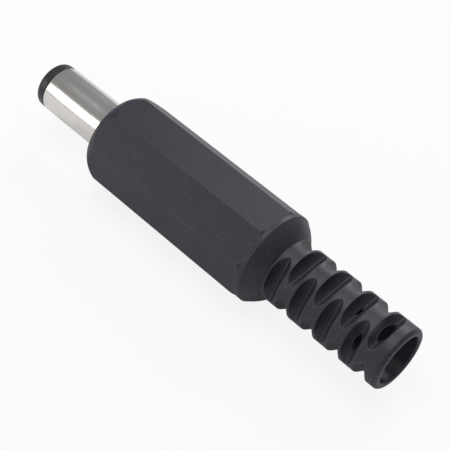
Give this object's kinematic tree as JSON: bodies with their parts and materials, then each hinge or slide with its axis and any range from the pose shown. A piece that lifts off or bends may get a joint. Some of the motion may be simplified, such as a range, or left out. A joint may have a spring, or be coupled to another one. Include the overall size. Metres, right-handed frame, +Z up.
{
  "type": "dc barrel plug",
  "caption": "Solder-type DC barrel plug: plated barrel with an insulated tip, and an eight-sided screw-on cover that ends in a slotted strain relief.",
  "frame": {"origin": "on the plug's axis, in the plane of the cover's front face, where the bare barrel starts", "axes": "+X along the plug towards its tip, +Z up when the plug lies on one flat of its grip"},
  "size_m": [0.0514, 0.0106, 0.0106],
  "materials": {
    "cover_plastic": "black moulded plastic, satin, fine texture",
    "sleeve_plating": "polished nickel plating on brass",
    "bush_plastic": "black moulded plastic, low gloss",
    "contact_plating": "nickel plating on spring bronze",
    "phenolic": "brown phenolic, matt",
    "terminal_plating": "bright tin plating on stamped brass"
  },
  "bodies": {
    "core": {"sleeve": "sleeve_plating", "tip_bush": "bush_plastic", "centre_contact": "contact_plating", "rear_bush": "phenolic", "sleeve_terminal": "terminal_plating", "centre_terminal": "terminal_plating"},
    "cover": {"cover": "cover_plastic"}
  },
  "joints": [
    {"name": "cover_slide", "type": "slide", "parent": "core", "child": "cover", "axis": [-1, 0, 0], "range_m": [0, 0.022]}
  ]
}
